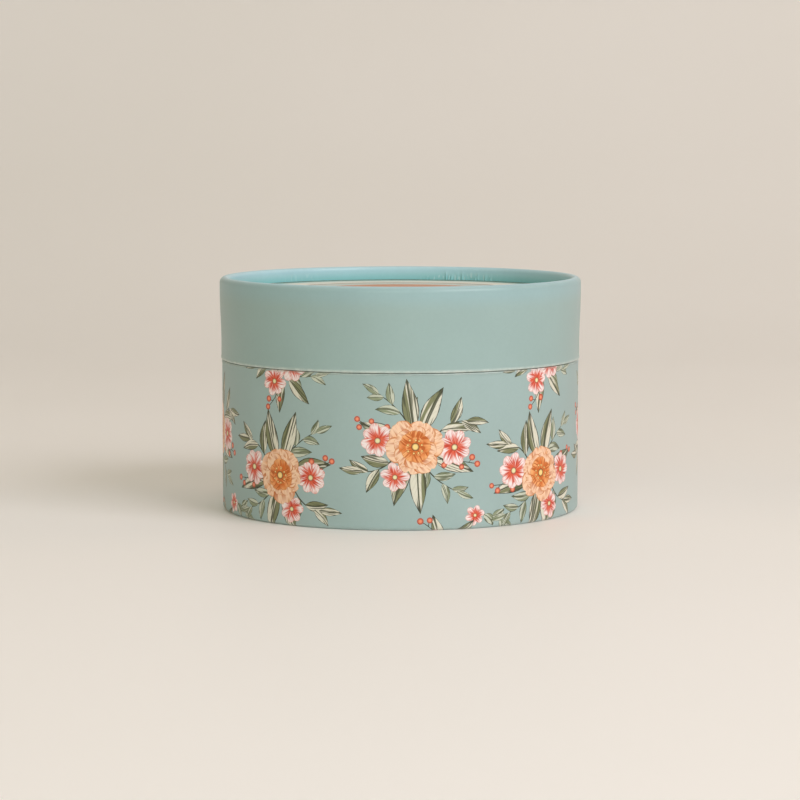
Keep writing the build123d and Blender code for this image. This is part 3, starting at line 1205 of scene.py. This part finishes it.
carriedOver = {
    "base_underside_paper": plainMint,
    "base_floor_paper": creamPaper,
    "lid_ceiling_paper": creamPaper,
    "lid_label": labelPrint,
    "base_tube": greyBoard,
    "base_disc": greyBoard,
    "neck_tube": greyBoard,
    "lid_tube": greyBoard,
    "lid_disc": greyBoard,
}
for nodeName, material in carriedOver.items():
    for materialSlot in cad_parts[nodeName].material_slots:
        materialSlot.link = "OBJECT"
        materialSlot.material = material

# The set: a pale sweep, soft lights and the photograph's viewing angle
studio = {
    "sweepHalfWidth": 4.8,
    "sweepFront": -4.8,
    "sweepBack": 1.4,
    "sweepHeight": 2.2,
    "sweepRounding": 0.9,
    "roundingSteps": 24,
    "floorTones": (paint(240, 239, 236), paint(246, 245, 244)),
    "glowReach": (1.1, 2.7),  # far out, where the lamps no longer reach, the floor glows
    "glowHeight": 0.3,
    "glow": paint(184, 177, 166),
    "air": paint(243, 234, 213),
    "airStrength": 0.285,
    "distance": paint(220, 212, 198),
}


def makeSweep():
    half, front, back = studio["sweepHalfWidth"], studio["sweepFront"], studio["sweepBack"]
    bpy.ops.object.select_all(action="DESELECT")
    bpy.ops.mesh.primitive_plane_add(size=2 * half, location=(0, 0, 0))
    sweep = bpy.context.object
    sweep.name = sweep.data.name = "sweep"
    for vertex in sweep.data.vertices:
        vertex.co.y = back if vertex.co.y > 0 else front

    def selectBackEdge():
        bpy.ops.mesh.select_mode(type="EDGE")
        bpy.ops.mesh.select_all(action="DESELECT")
        bpy.ops.object.mode_set(mode="OBJECT")
        for edge in sweep.data.edges:
            ends = [sweep.data.vertices[i].co for i in edge.vertices]
            edge.select = all(end.y > back - 0.01 and end.z < 0.01 for end in ends)
        bpy.ops.object.mode_set(mode="EDIT")

    bpy.ops.object.mode_set(mode="EDIT")
    selectBackEdge()
    bpy.ops.mesh.extrude_edges_move(TRANSFORM_OT_translate={"value": (0, 0, studio["sweepHeight"])})
    selectBackEdge()
    bpy.ops.mesh.bevel(offset=studio["sweepRounding"], segments=studio["roundingSteps"], affect="EDGES")
    bpy.ops.object.mode_set(mode="OBJECT")
    bpy.ops.object.shade_smooth_by_angle(angle=math.radians(35))
    return sweep


def makeSweepPaint():
    material, tree, shader, place = startMaterial("palePaint")
    cloud = ramp(tree, noiseOf(tree, place, 1.3, 3.0), 0.3, 0.7)
    x, y, height = separate(tree, place)
    far = times(tree, ramp(tree, reachOf(tree, x, y), *studio["glowReach"]),
                ramp(tree, height, 0.0, studio["glowHeight"], 1.0, 0.0))
    feedAll(tree, shader, {
        "Base Color": blendColour(tree, cloud, *studio["floorTones"]),
        "Roughness": 0.5,
        "Specular IOR Level": 0.3,
        "Emission Color": blendColour(tree, far, paint(0, 0, 0), studio["glow"]),
        "Emission Strength": 1.0,
    })
    return material


makeSweep().data.materials.append(makeSweepPaint())

lights = {  # place, size, power, colour
    "keyLight": ((1.12, -1.08, 1.05), (1.25, 0.9), 19.8, (1.0, 0.94, 0.97)),
    "frontLight": ((-0.2, -1.75, 0.7), (1.2, 1.0), 8.7, (0.91, 1.0, 0.865)),
    "fillLight": ((-1.5, -0.65, 0.95), (0.9, 0.7), 2.1, (1.0, 0.64, 0.25)),
    "sideLight": ((1.5, 0.3, 0.9), (0.7, 0.7), 1.9, (1.0, 0.58, 0.25)),
    "topLight": ((0.1, 0.3, 1.6), (1.4, 0.9), 3.5, (1.0, 0.9, 0.85)),
}
aimedAt = Vector((0, 0, 0.03))
for lightName, (lampPlace, lampSize, power, lampColour) in lights.items():
    bpy.ops.object.light_add(type="AREA", location=lampPlace)
    lamp = bpy.context.object
    lamp.name = lightName
    lamp.data.shape = "RECTANGLE"
    lamp.data.size, lamp.data.size_y = lampSize
    lamp.data.energy = power
    lamp.data.color = lampColour
    lamp.rotation_euler = (aimedAt - Vector(lampPlace)).to_track_quat("-Z", "Y").to_euler()


# The air lights the box softly, and what the camera sees of it is as pale as the floor
def makeAir():
    world = bpy.data.worlds.new("studioAir")
    bpy.context.scene.world = world
    world.use_nodes = True
    air = world.node_tree
    surround = air.nodes["Background"]
    feedAll(air, surround, {"Color": studio["air"], "Strength": studio["airStrength"]})
    distance = addNode(air, "ShaderNodeBackground", {"Color": studio["distance"]})
    seen = addNode(air, "ShaderNodeMixShader", {
        0: addNode(air, "ShaderNodeLightPath").outputs["Is Camera Ray"],
        1: surround.outputs[0],
        2: distance.outputs[0],
    })
    feed(air, air.nodes["World Output"].inputs["Surface"], seen.outputs[0])


makeAir()
bpy.context.scene.view_settings.view_transform = "Standard"
bpy.context.scene.view_settings.look = "None"

eye = {"lens": 132.22, "sensor": 36, "place": (-0.00008, -0.82372, 0.11308), "tilt": math.radians(90 - 5.76)}
bpy.ops.object.camera_add(location=eye["place"], rotation=(eye["tilt"], 0, 0))
camera = bpy.context.object
camera.name = "camera"
camera.data.lens = eye["lens"]
camera.data.sensor_width = eye["sensor"]
camera.data.clip_start, camera.data.clip_end = 0.01, 50
bpy.context.scene.camera = camera
print("stage: set lit")
